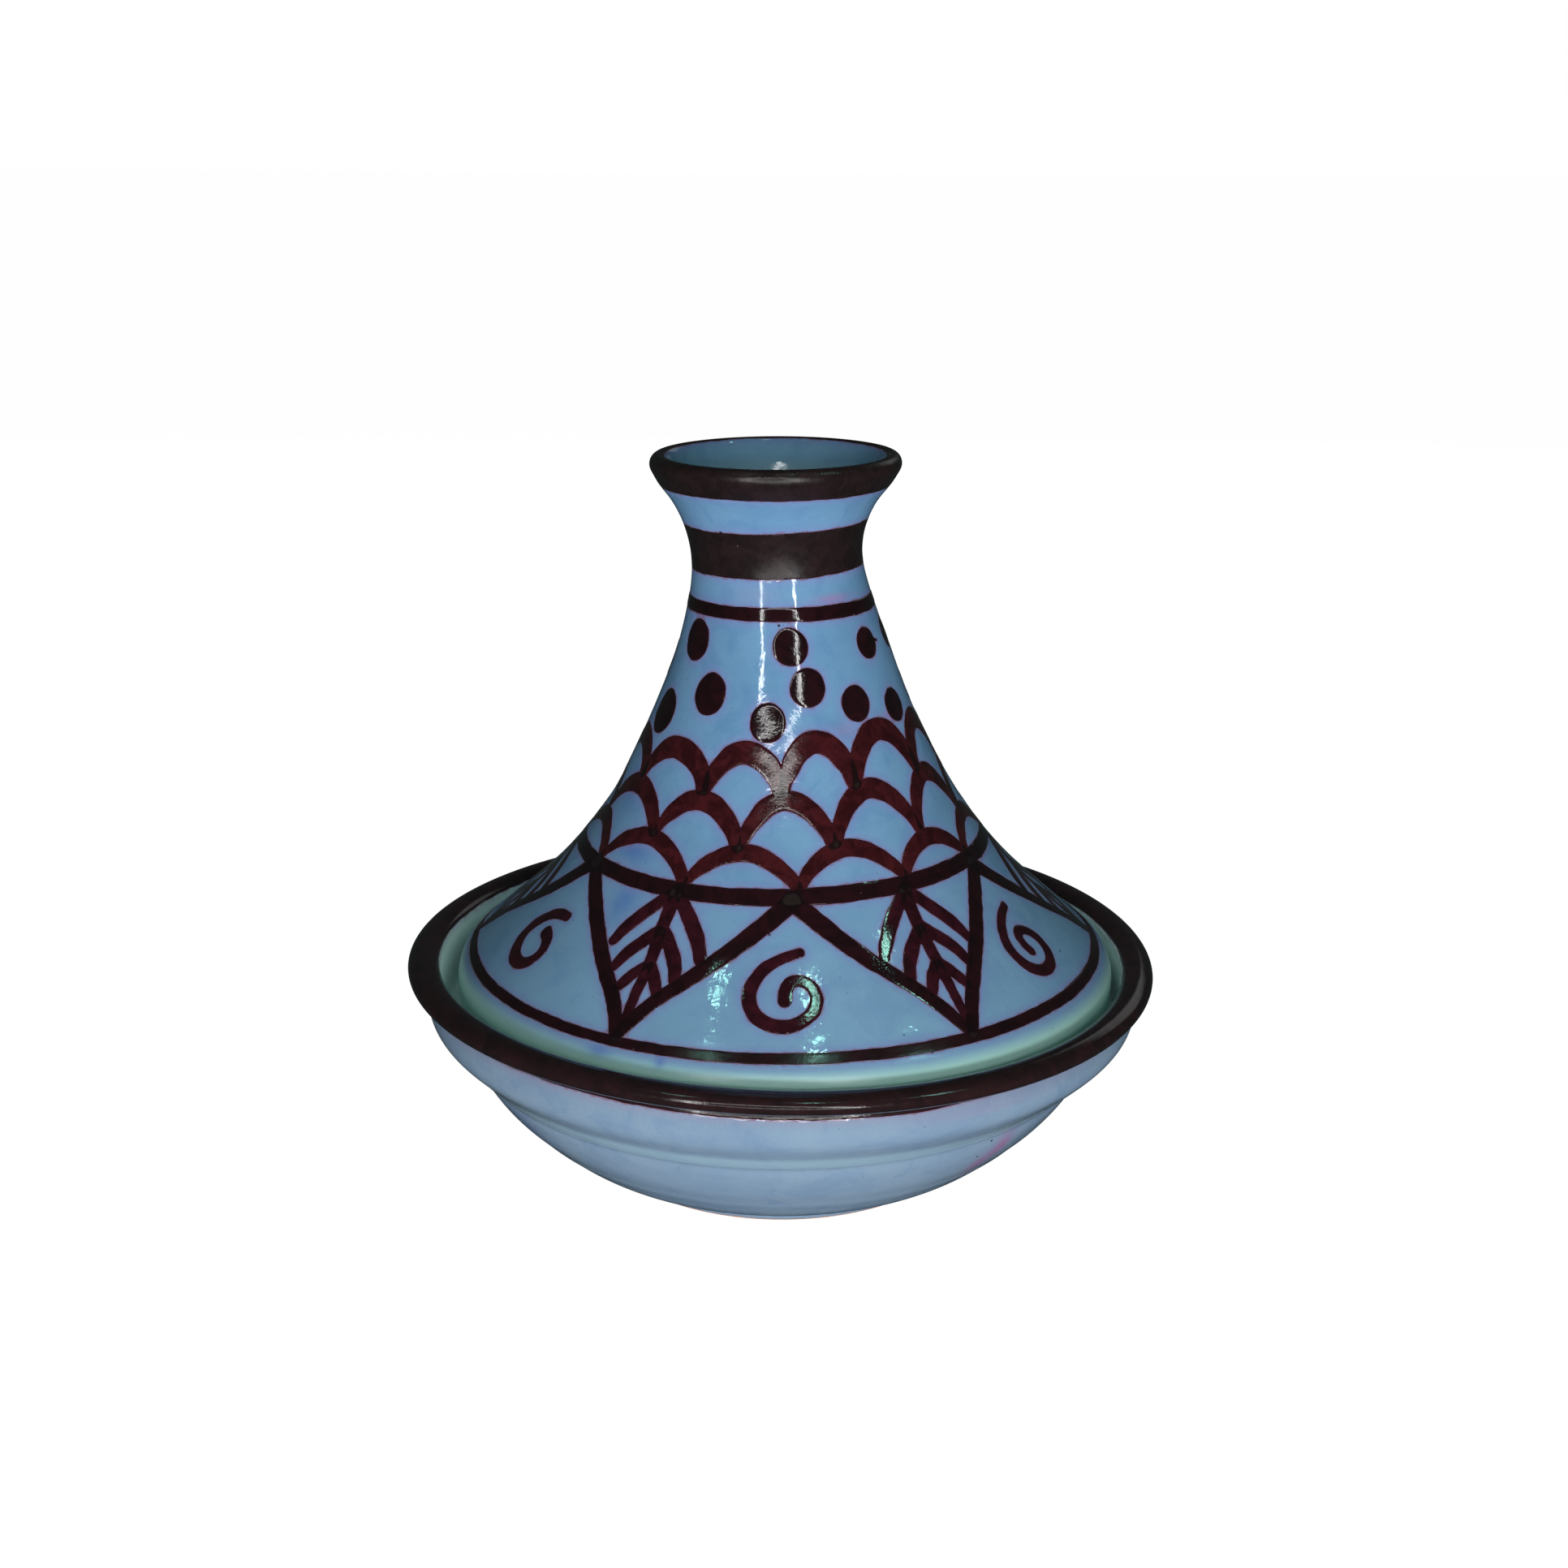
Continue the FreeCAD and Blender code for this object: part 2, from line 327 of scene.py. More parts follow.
class Marks:
    """Brush marks on a stretch of wall, as distances to their edges in millimetres."""

    def __init__(self, wall, low, high, columns=COLUMNS, row=ROW):
        self.wall = wall
        self.angles = np.linspace(-180, 180, columns, endpoint=False)
        self.rows = np.arange(low, high, row)
        self.points = wall.place(self.angles[None, :], self.rows[:, None]) / MM
        self.layers = {}
        self.cover = np.zeros(self.points.shape[:2], np.float32)
        self.wobble = 0.08 * Waves(1, 6.0).at(self.points) + 0.03 * Waves(2, 2.0).at(self.points)

    def add(self, layer, distance, rows=slice(None), columns=slice(None)):
        """Adds one mark to a layer. distance is below zero inside it."""
        if layer not in self.layers:
            self.layers[layer] = np.full(self.cover.shape, NO_MARK, np.float32)
        window = np.ix_(np.arange(len(self.rows))[rows], np.arange(len(self.angles))[columns])
        distance = distance + self.wobble[window]
        self.layers[layer][window] = np.minimum(self.layers[layer][window], distance)
        self.cover[window] += 1 - smooth_step(distance, -0.7, 0.1)

    def stroke(self, layer, places, widths):
        """A brush stroke through places (degrees, millimetres along the wall)."""
        places = np.array(places, float)
        scale = np.radians(self.wall.radius_at(places[:, 1].mean()))
        flat = smooth_through(places * (scale, 1.0), 0.35)
        share = np.linspace(0, 1, len(flat))
        width = np.interp(share, np.linspace(0, 1, len(widths)), widths)
        angle, along = flat[:, 0] / scale, flat[:, 1]
        line = self.wall.place(angle, along) / MM
        reach = width.max() / 2 + 2.5
        rows = np.flatnonzero((self.rows > along.min() - reach) & (self.rows < along.max() + reach))
        margin = math.degrees(reach / self.wall.radius_at(along).min())
        middle = (angle.min() + angle.max()) / 2
        half = (angle.max() - angle.min()) / 2 + margin
        away = (self.angles - middle + 180) % 360 - 180
        columns = np.flatnonzero(np.abs(away) < half)
        points = self.points[np.ix_(rows, columns)]
        nearest = np.full(points.shape[:2], 99.0)
        for spot, half_width in zip(line, width / 2):
            nearest = np.minimum(nearest, np.linalg.norm(points - spot, axis=-1) - half_width)
        self.add(layer, nearest, rows, columns)

    def dot(self, layer, angle, along, width, height):
        across = np.radians((self.angles - angle + 180) % 360 - 180)[None, :] * self.wall.radius_at(along)
        up = (self.rows - along)[:, None]
        round_ = np.sqrt((across / width * 2) ** 2 + (up / height * 2) ** 2)
        rows = np.flatnonzero(np.abs(self.rows - along) < height)
        columns = np.flatnonzero(np.abs(across[0]) < width)
        distance = (round_ - 1) * (width + height) / 4
        self.add(layer, distance[np.ix_(rows, columns)], rows, columns)

    def band(self, layer, middle, width):
        """A ring round the pot. middle and width may vary with the angle in radians."""
        turn = np.radians(self.angles)[None, :]
        self.add(layer, np.abs(self.rows[:, None] - middle(turn)) - width(turn) / 2)

    def distance(self):
        """The distance to the nearest mark of any layer."""
        return np.minimum.reduce(list(self.layers.values()))

    def sample(self, field, places, outside):
        """A field of this grid at (degrees, along) places."""
        column = (places[:, 0] + 180) / 360 * len(self.angles)
        row = (places[:, 1] - self.rows[0]) / (self.rows[1] - self.rows[0])
        inside = (row >= 0) & (row <= len(self.rows) - 1)
        low = np.clip(row.astype(int), 0, len(self.rows) - 2)
        left = column.astype(int) % len(self.angles)
        right = (left + 1) % len(self.angles)
        a, b = np.clip(row - low, 0, 1), column - np.floor(column)
        value = (field[low, left] * (1 - b) + field[low, right] * b) * (1 - a)
        value += (field[low + 1, left] * (1 - b) + field[low + 1, right] * b) * a
        return np.where(inside, value, outside)

    def film(self, layer, lift):
        """The closed raised film of a layer: points, faces and its attributes."""
        depth = -self.layers[layer]
        height, width = depth.shape
        inside = depth > 0
        across = np.roll(depth, -1, axis=1)
        crosses_h = inside != np.roll(inside, -1, axis=1)
        crosses_v = inside[:-1] != inside[1:]
        rows, columns = np.meshgrid(np.arange(height), np.arange(width), indexing="ij")
        cut_h = np.where(crosses_h, depth / np.where(crosses_h, depth - across, 1), 0)
        cut_v = np.where(crosses_v, depth[:-1] / np.where(crosses_v, depth[:-1] - depth[1:], 1), 0)
        steps = [
            (rows[inside], columns[inside] + 0.0),
            (rows[crosses_h], columns[crosses_h] + cut_h[crosses_h]),
            (rows[:-1][crosses_v] + cut_v[crosses_v], columns[:-1][crosses_v] + 0.0),
        ]
        row = np.concatenate([step[0] for step in steps])
        column = np.concatenate([step[1] for step in steps])
        count = inside.sum()
        along = self.rows[0] + row * (self.rows[1] - self.rows[0])
        angle = -180 + column * 360 / width
        deep = np.zeros(len(row))
        deep[:count] = depth[inside]
        rise = lift * smooth_step(deep, -0.05, FILM_SHOULDER)
        top = self.wall.place(angle, along, rise)
        under = self.wall.place(angle[:count], along[:count], -FILM_SUNK)

        numbers = {kind: np.full(depth.shape, -1) for kind in ("node", "h", "v")}
        numbers["node"][inside] = np.arange(count)
        numbers["h"][crosses_h] = count + np.arange(crosses_h.sum())
        numbers["v"][:-1][crosses_v] = count + crosses_h.sum() + np.arange(crosses_v.sum())
        node, h, v = numbers["node"], numbers["h"], numbers["v"]
        beside = np.roll(node, -1, axis=1)
        v_beside = np.roll(v, -1, axis=1)
        # A face joins what a grid cell has, in order round it: corners in the paint and cut sides
        corners = [node[:-1], h[:-1], beside[:-1], v_beside[:-1], beside[1:], h[1:], node[1:], v[:-1]]
        cells = np.stack(corners, -1).reshape(-1, 8)
        cells = cells[(cells >= 0).sum(1) >= 3]
        upper = [[n for n in cell if n >= 0] for cell in cells.tolist()]
        # The underside mirrors the top and shares the points on the mark's edge
        shift = len(top)
        lower = [[n + shift if n < count else n for n in reversed(face)] for face in upper]
        cover = self.sample(self.cover, np.stack([angle, along], 1), 1.0)
        attributes = {
            "overlap": np.concatenate([cover, cover[:count]]),
            "depth": np.concatenate([deep, deep[:count]]),
        }
        return np.concatenate([top, under]), upper + lower, attributes


# ---------------------------------------------------------------- the decoration

RING = 50.4  # distance of the middle ring along the lid, and of the other bands below
HEM = 8.2
SHOULDER_LINE = 120.7
NECK_BAND = 135.9
CUP_RIM_LOW, CUP_RIM_HIGH = 152.4, 163.9
LIP_LOW, LIP_HIGH = 23.8, 43.0  # along the dish

# Each row of arches: (degrees of the feet that are in view, their distances, crowns between them)
ARCH_ROWS = {
    "scallops_low": (
        (-93, -63, -28.3, 3.5, 34.8, 63),
        (52.2, 52.2, 52.6, 53.3, 53.6, 53.6),
        (59.6, 61.3, 61.3, 62.3, 60.9, 61.3),
    ),
    "scallops_middle": (
        (-80.5, -45.3, -14.6, 15.2, 47.3, 77),
        (62.8, 62.6, 62.6, 63.4, 64.0, 63.6),
        (72.5, 73.3, 74.8, 76.3, 76.2, 74.8),
    ),
    "scallops_top": (
        (-95, -63.6, -30, -1.2, 26.7, 59.2, 89),
        (75.6, 75.6, 75.9, 76.9, 78.0, 78.2, 77.4),
        (83.8, 85.0, 86.5, 89.4, 90.4, 89.2, 87.4),
    ),
}
ARCHES = 12
ARCH_WIDTHS = {
    "scallops_low": (2.6, 4.2, 4.6, 4.6, 4.2, 3.4),
    "scallops_middle": (2.6, 4.3, 5.2, 5.4, 4.7, 3.4),
    "scallops_top": (3.0, 4.8, 5.8, 6.0, 5.4, 3.9),
}
ARCH_SHOULDERS = {"scallops_low": (1.5, 1.8), "scallops_middle": (1.4, 1.4), "scallops_top": (1.4, 1.1)}

# Zigzag, leaf sprays and swirls
UPPER_APEXES = (-63.0, 1.8, 62.4, 119.5, 178.5, 237.5)
LOWER_APEXES = (-91.5, -29.3, 33.2, 90.5, 149.5, 208.0)
SPRAY_LEAVES = (
    ((1.6, 48.3), (5.6, 43.7), (9.5, 38.3), (11.6, 33.2)),
    ((0.9, 38.8), (3.9, 34.9), (6.4, 30.4), (7.3, 27.0)),
    ((0.8, 29.0), (2.8, 25.2), (4.1, 21.8)),
)
SWIRLS = (
    (
        (-58.6, 33.6), (-62.2, 33.0), (-66.2, 30.0), (-68.2, 25.2), (-67.0, 20.2), (-64.2, 17.3),
        (-61.2, 16.9), (-58.5, 19.2), (-57.8, 23.2), (-59.6, 26.4), (-61.6, 27.4),
    ),
    (
        (3.2, 36.1), (-1.2, 34.3), (-5.2, 30.6), (-6.8, 25.8), (-6.0, 20.6), (-3.2, 17.5), (0.2, 16.8),
        (3.6, 18.6), (5.8, 22.3), (5.7, 26.2), (3.4, 28.6), (1.2, 28.4), (0.2, 26.6), (0.0, 23.4),
    ),
    (
        (63.4, 36.0), (60.2, 34.8), (55.8, 31.2), (53.6, 26.0), (54.6, 20.6), (57.6, 17.3), (60.6, 17.0),
        (63.8, 19.8), (64.7, 24.2), (63.0, 27.8), (60.4, 28.6), (58.9, 26.6), (59.2, 23.0),
    ),
)
SWIRL_WIDTHS = (3.4, 3.1, 3.0)

# (degrees, distance, width, height) of the dots: those in view first, then those behind
DOTS = (
    (-56, 112.6, 9.6, 11.0), (4, 113.3, 8.9, 9.7), (53.3, 112.0, 7.7, 8.4), (84, 112.0, 7.6, 8.2),
    (-37.5, 100.0, 9.4, 11.1), (11.6, 103.0, 9.0, 10.1), (35.5, 97.8, 8.6, 9.3),
    (-66.5, 92.2, 10.6, 12.1), (-7, 94.3, 9.0, 10.2), (61.3, 94.9, 8.5, 8.9),
    (-94, 104.0, 9.3, 10.5), (-118, 112.4, 9.0, 9.8), (-122, 94.0, 9.4, 10.2), (-146, 103.0, 8.8, 9.7),
    (-172, 112.6, 9.1, 9.8), (-168, 94.6, 9.5, 10.0), (164, 103.5, 8.8, 9.6), (139, 112.2, 8.4, 9.2),
    (136, 95.0, 9.0, 9.7), (112, 103.0, 8.8, 9.4), (97, 95.6, 8.6, 9.0),
)


def around(first, last, count, jitter, chance):
    """count evenly spaced angles after first that go round the back to last."""
    gap = (last - first) / count
    return [first + gap * k + chance.uniform(-jitter, jitter) for k in range(1, count)]


def paint_arches(marks, chance):
    for layer, (feet, footing, crowns) in ARCH_ROWS.items():
        hidden = ARCHES - (len(feet) - 1)
        behind = around(feet[-1], feet[0] + 360, hidden, 1.0, chance)
        feet = list(feet) + behind + [feet[0] + 360]
        share = np.linspace(0, 1, hidden + 1)[1:]
        footing = list(footing) + list(footing[-1] + (footing[0] - footing[-1]) * share)
        crowns = list(crowns[: len(footing) - 1])
        share = np.linspace(0, 1, len(feet) - 1 - len(crowns) + 2)[1:-1]
        crowns += list(crowns[-1] + (crowns[0] - crowns[-1]) * share)
        for k, crown in enumerate(crowns):
            left, right = feet[k] + 0.9, feet[k + 1] - 0.5
            arch = []
            for turn in np.radians((180, 158, 136, 112, 90, 68, 44, 22, 1)):
                foot = footing[k] if turn > math.pi / 2 else footing[k + 1]
                angle = (left + right) / 2 + (right - left) / 2 * math.cos(turn)
                drawn_in = ARCH_SHOULDERS[layer][0 if turn > math.pi / 2 else 1]
                arch.append((angle, foot + (crown - foot) * math.sin(turn) ** drawn_in))
            marks.stroke(layer, arch, ARCH_WIDTHS[layer])


def paint_zigzag(marks, chance):
    shares = (1.0, 0.8, 0.6, 0.4, 0.2, 0.0)
    following = LOWER_APEXES[1:] + (LOWER_APEXES[0] + 360,)
    for top, *lows in zip(UPPER_APEXES, LOWER_APEXES, following):
        for low in lows:
            line = []
            for share in shares:
                angle = low + (top - low) * share**1.42 + chance.uniform(-0.25, 0.25)
                line.append((angle, HEM + 1.2 + (RING - HEM - 2.0) * share))
            marks.stroke("zigzag", line, (5.0, 4.7, 4.5, 4.2, 3.9, 3.6))


def paint_sprays(marks, chance):
    for node in LOWER_APEXES:
        vein = ((0, 50), (-0.5, 42), (0, 33), (0.2, 24), (0.2, 14))
        line = [(node + turn, along) for turn, along in vein]
        marks.stroke("leaf_sprays", line, (4.0, 3.7, 3.4, 3.0, 2.5))
        for leaf, width in zip(SPRAY_LEAVES, (3.9, 3.7, 3.3)):
            for side in (-1, 1):
                bend = chance.uniform(-0.35, 0.35)
                line = []
                for k, (turn, along) in enumerate(leaf):
                    line.append((node + side * turn + bend * k * 0.5, along + bend))
                marks.stroke("leaf_sprays", line, (width * 0.85, width, width, width * 0.8))


def paint_swirls(marks, chance):
    for places, width in zip(SWIRLS, SWIRL_WIDTHS):
        marks.stroke("swirls", places, [width * share for share in (0.8, 1.0, 1.15, 1.2, 1.1, 1.0, 1.1)])
    for apex in UPPER_APEXES[3:]:
        turned, raised = chance.uniform(-1.0, 1.0), chance.uniform(-0.8, 0.8)
        places = [(apex - 1.2 + turned + angle, along + raised) for angle, along in SWIRLS[1]]
        marks.stroke("swirls", places, (2.6, 3.2, 3.6, 3.7, 3.3, 3.1, 3.4))


def lid_marks(wall):
    chance = np.random.default_rng(SEED)
    marks = Marks(wall, 4.5, 125.5)
    marks.band("hem_ring", lambda t: HEM + 0.45 * np.sin(t + 0.5), lambda t: 2.95 + 0.15 * np.sin(2 * t))
    marks.band("middle_ring", lambda t: RING + 1.15 * np.sin(t), lambda t: 4.3 + 0.25 * np.sin(2 * t + 1))
    marks.band(
        "shoulder_line",
        lambda t: SHOULDER_LINE + 0.5 * np.cos(t - 0.3),
        lambda t: 3.5 + 0.1 * np.sin(3 * t),
    )
    for angle, along, width, height in DOTS:
        marks.dot("dots", angle, along, width, height)
    marks.stroke("dots", ((58, 112.2), (61, 112.1), (64.3, 111.7)), (2.4, 0.9, 0.3))
    paint_arches(marks, chance)
    paint_zigzag(marks, chance)
    paint_sprays(marks, chance)
    paint_swirls(marks, chance)
    return marks


def neck_marks(wall):
    marks = Marks(wall, 126.0, 169.0, columns=480, row=0.4)
    marks.band(
        "neck_band",
        lambda t: NECK_BAND + 0.65 * np.sin(t + 0.1),
        lambda t: 12.0 + 0.15 * np.sin(2 * t),
    )
    middle = (CUP_RIM_LOW + CUP_RIM_HIGH) / 2
    width = CUP_RIM_HIGH - CUP_RIM_LOW
    marks.band("cup_rim_band", lambda t: middle + 0.3 * np.cos(t - 0.3), lambda t: width + 0.4 * np.cos(t))
    return marks


def lip_marks(wall):
    marks = Marks(wall, 18.0, 46.0, columns=1440, row=0.4)

    def low(turn):
        degrees = np.degrees(turn)
        notch = 0.9 * (smooth_step(degrees, 22, 27) - smooth_step(degrees, 42, 44.5))
        return LIP_LOW + notch * 0.6 - 0.8 * smooth_step(np.abs(degrees), 45, 75)

    marks.band(
        "lip_band",
        lambda t: (LIP_HIGH + low(t)) / 2,
        lambda t: LIP_HIGH - low(t) + 0.5 * np.sin(3 * t + 1),
    )
    return marks


# ---------------------------------------------------------------- materials

def srgb(red, green, blue):
    """A colour given as 0 to 255 on screen, as linear RGBA."""
    parts = []
    for value in (red, green, blue):
        value /= 255
        parts.append(value / 12.92 if value <= 0.04045 else ((value + 0.055) / 1.055) ** 2.4)
    return (*parts, 1.0)


class Nodes:
    """Short names for the nodes of one material."""

    def __init__(self, name):
        self.material = bpy.data.materials.new(name)
        self.material.use_nodes = True
        self.tree = self.material.node_tree
        self.shader = self.tree.nodes["Principled BSDF"]
        self.place = self.add("ShaderNodeTexCoord").outputs["Object"]

    def add(self, kind, **settings):
        node = self.tree.nodes.new(kind)
        for key, value in settings.items():
            setattr(node, key, value)
        return node

    def link(self, source, target):
        self.tree.links.new(source, target)

    def noise(self, size, detail=3.0, roughness=0.5, distortion=0.0):
        """Noise with features about size millimetres across."""
        node = self.add("ShaderNodeTexNoise")
        node.inputs["Scale"].default_value = 1 / (size * MM)
        node.inputs["Detail"].default_value = detail
        node.inputs["Roughness"].default_value = roughness
        node.inputs["Distortion"].default_value = distortion
        self.link(self.place, node.inputs["Vector"])
        return node.outputs["Fac"]

    def attribute(self, name):
        return self.add("ShaderNodeAttribute", attribute_name=name).outputs["Fac"]

    def between(self, value, low, high, start=0.0, end=1.0):
        """value mapped from low..high to start..end, kept inside."""
        node = self.add("ShaderNodeMapRange", interpolation_type="SMOOTHSTEP")
        for key, number in (("From Min", low), ("From Max", high), ("To Min", start), ("To Max", end)):
            node.inputs[key].default_value = number
        self.link(value, node.inputs["Value"])
        return node.outputs["Result"]

    def math(self, operation, first, second):
        node = self.add("ShaderNodeMath", operation=operation)
        for socket, value in zip(node.inputs, (first, second)):
            if isinstance(value, (int, float)):
                socket.default_value = value
            else:
                self.link(value, socket)
        return node.outputs["Value"]

    def mix(self, share, first, second):
        """Two colours or sockets mixed by share."""
        node = self.add("ShaderNodeMix", data_type="RGBA")  # its colours are inputs 6 and 7, output 2
        self.link(share, node.inputs["Factor"])
        for socket, value in zip((node.inputs[6], node.inputs[7]), (first, second)):
            if isinstance(value, tuple):
                socket.default_value = value
            else:
                self.link(value, socket)
        return node.outputs[2]

    def specks(self, spacing, size, amount):
        """Small sparse spots, about spacing millimetres apart where they occur."""
        cells = self.add("ShaderNodeTexVoronoi", feature="F1")
        cells.inputs["Scale"].default_value = 1 / (spacing * MM)
        self.link(self.place, cells.inputs["Vector"])
        chosen = self.add("ShaderNodeTexWhiteNoise", noise_dimensions="3D")
        self.link(cells.outputs["Position"], chosen.inputs["Vector"])
        spot = self.between(cells.outputs["Distance"], size * 0.4, size, 1.0, 0.0)
        kept = self.between(chosen.outputs["Value"], 1 - amount - 0.01, 1 - amount)
        return self.math("MULTIPLY", spot, kept)

    def streaks(self, size, flatness, detail=2.0):
        """Noise drawn out sideways by flatness, as throwing and brushing leave it on a turned pot."""
        stretch = self.add("ShaderNodeVectorMath", operation="MULTIPLY")
        stretch.inputs[1].default_value = (1.0, 1.0, flatness)
        self.link(self.place, stretch.inputs[0])
        node = self.add("ShaderNodeTexNoise")
        node.inputs["Scale"].default_value = 1 / (size * MM)
        node.inputs["Detail"].default_value = detail
        self.link(stretch.outputs[0], node.inputs["Vector"])
        return node.outputs["Fac"]

    def bump(self, height, distance, strength=1.0, base=None):
        node = self.add("ShaderNodeBump")
        node.inputs["Strength"].default_value = strength
        node.inputs["Distance"].default_value = distance * MM
        self.link(height, node.inputs["Height"])
        if base is not None:
            self.link(base, node.inputs["Normal"])
        return node.outputs["Normal"]

    def mix_value(self, share, first, second):
        """Two numbers or sockets mixed by share."""
        node = self.add("ShaderNodeMix", data_type="FLOAT")  # its numbers are inputs 2 and 3, output 0
        self.link(share, node.inputs["Factor"])
        for socket, value in zip((node.inputs[2], node.inputs[3]), (first, second)):
            if isinstance(value, float):
                socket.default_value = value
            else:
                self.link(value, socket)
        return node.outputs[0]


def glaze(name, light, main, deep, lavender, pool_and_reflection_colour):
    """Glossy blue glaze, tinted beside painted marks and green in pools, with bare clay seats. It also
    carries painted light, paler where the lamps leave it dark, and a pale green painted reflection on the
    lid's edge.
    """
    nodes = Nodes(name)
    drift = nodes.between(nodes.noise(34, 3, 0.55, 0.6), 0.36, 0.64)
    colour = nodes.mix(drift, main, light)
    brushed = nodes.between(nodes.streaks(16, 7.0, 4.0), 0.44, 0.66, 0.0, 0.32)
    colour = nodes.mix(brushed, colour, light)
    cloud = nodes.between(nodes.noise(11, 3, 0.6, 1.0), 0.46, 0.70, 0.0, 0.42)
    colour = nodes.mix(cloud, colour, deep)
    grain = nodes.between(nodes.noise(0.9, 3, 0.7), 0.32, 0.68, 0.0, 0.16)
    colour = nodes.mix(grain, colour, deep)
    # Painted light: this attribute lightens the glaze towards a pale grey-blue where the lamps leave it
    # too dark.
    colour = nodes.mix(nodes.attribute("painted_light"), colour, srgb(142, 172, 184))
    colour = nodes.mix(nodes.attribute("deep"), colour, srgb(46, 78, 158))
    colour = nodes.mix(nodes.attribute("blush"), colour, srgb(150, 92, 140))
    # Partly painted: pooled green glaze, which on the lid's edge and in the dish's gallery is made pale as
    # a painted reflection and painted light.
    colour = nodes.mix(nodes.attribute("pool_and_painted_reflection"), colour, pool_and_reflection_colour)
    ragged = nodes.math("SUBTRACT", nodes.noise(1.7, 2), 0.5)
    edge = nodes.math("ADD", nodes.attribute("edge"), ragged)
    colour = nodes.mix(nodes.between(edge, 0.0, 2.8, 0.50, 0.0), colour, lavender)
    colour = nodes.mix(nodes.between(edge, 0.05, 0.50, 0.62, 0.0), colour, srgb(112, 66, 88))
    colour = nodes.mix(nodes.specks(6.0, 0.085, 0.13), colour, srgb(20, 26, 38))
    colour = nodes.mix(nodes.specks(2.1, 0.10, 0.10), colour, srgb(62, 82, 112))
    bare = nodes.between(nodes.math("ADD", nodes.attribute("bare"), nodes.noise(3.0, 3)), 0.93, 1.07)
    grit = nodes.between(nodes.noise(0.7, 4, 0.65), 0.3, 0.7)
    clay = nodes.mix(grit, srgb(140, 86, 62), srgb(176, 124, 94))
    nodes.link(nodes.mix(bare, colour, clay), nodes.shader.inputs["Base Color"])
    gloss = nodes.between(nodes.noise(6, 3), 0.3, 0.7, 0.05, 0.10)
    satin = nodes.mix_value(nodes.attribute("satin"), gloss, 0.30)
    nodes.link(nodes.mix_value(bare, satin, 0.85), nodes.shader.inputs["Roughness"])
    peel = nodes.bump(nodes.noise(5.0, 2, 0.45), 0.17, 0.5)
    throwing = nodes.bump(nodes.streaks(9.0, 5.0), 0.012, 0.5, peel)
    fine = nodes.bump(nodes.noise(2.0, 2), 0.080, 0.5, throwing)
    pits = nodes.math("MULTIPLY", nodes.specks(6.0, 0.085, 0.13), -1.0)
    nodes.link(nodes.bump(pits, 0.12, 0.6, fine), nodes.shader.inputs["Normal"])
    nodes.shader.inputs["IOR"].default_value = 1.55
    return nodes.material


def paint(name, main, thin, black, gloss):
    """Iron-brown brushed colour, redder where it is thin, and darker and duller where strokes cross."""
    nodes = Nodes(name)
    mottle = nodes.between(nodes.noise(5.0, 4, 0.6, 0.8), 0.36, 0.66)
    colour = nodes.mix(mottle, main, thin)
    drag = nodes.between(nodes.noise(1.2, 3, 0.6), 0.4, 0.75, 0.0, 0.28)
    colour = nodes.mix(drag, colour, black)
    overlap = nodes.attribute("overlap")
    colour = nodes.mix(nodes.between(overlap, 1.1, 1.8, 0.0, 0.85), colour, black)
    heavy = nodes.between(nodes.math("ADD", overlap, nodes.noise(2.0, 3)), 2.7, 3.5)
    colour = nodes.mix(heavy, colour, srgb(30, 22, 21))
    rim = nodes.between(nodes.attribute("depth"), 0.05, 0.6, 0.40, 0.0)
    colour = nodes.mix(rim, colour, srgb(46, 16, 24))
    colour = nodes.mix(nodes.specks(3.0, 0.08, 0.06), colour, srgb(92, 84, 66))
    nodes.link(colour, nodes.shader.inputs["Base Color"])
    low, high = gloss
    roughness = nodes.between(nodes.noise(1.8, 3), 0.3, 0.7, low, high)
    nodes.link(nodes.mix_value(heavy, roughness, 0.2), nodes.shader.inputs["Roughness"])
    grain = nodes.bump(nodes.noise(0.65, 2, 0.6), 0.018, 1.0)
    nodes.link(nodes.bump(nodes.noise(6.5, 2), 0.06, 0.5, grain), nodes.shader.inputs["Normal"])
    nodes.shader.inputs["IOR"].default_value = 1.52
    return nodes.material


# ---------------------------------------------------------------- the two pieces

def rows_between(stretches):
    """Distances from the first stretch's start to the last one's end: (start, end, step) each."""
    rows = [np.arange(start, end, step) for start, end, step in stretches]
    return np.concatenate(rows + [np.array([stretches[-1][1]])])


def spots(places, centres, wall):
    """How strongly each (degrees, along) place is stained by (degrees, along, width, height, strength)."""
    total = np.zeros(len(places))
    for angle, along, width, height, strength in centres:
        across = np.radians((places[:, 0] - angle + 180) % 360 - 180) * wall.radius_at(along)
        total += strength * np.exp(-((across / width) ** 2) - ((places[:, 1] - along) / height) ** 2)
    return np.clip(total, 0, 1)


def add_films(marks, layers, body):
    """layers is a list of (layer, name of its piece, material)."""
    for number, (layer, name, material) in enumerate(layers):
        points, faces, attributes = marks.film(layer, FILM_RISE + FILM_STEP * number)
        new_object(name, points, faces, body, material, attributes)


def lid_pool_and_reflection(along):
    """How green the lid's glaze is: at its outer edge, where it ran down, and inside the cup. The pale
    mint at the outer edge is partly pooled glaze and partly a painted reflection of the dish's green
    gallery, with painted light where the dish's lip shades it.
    """
    edge = (1 - smooth_step(along, 1.5, 6.0)) * smooth_step(along, -16, -8)
    return (0.8 - 0.3 * smooth_step(-along, 4, 9)) * edge + 0.08 * smooth_step(along, 163, 168)


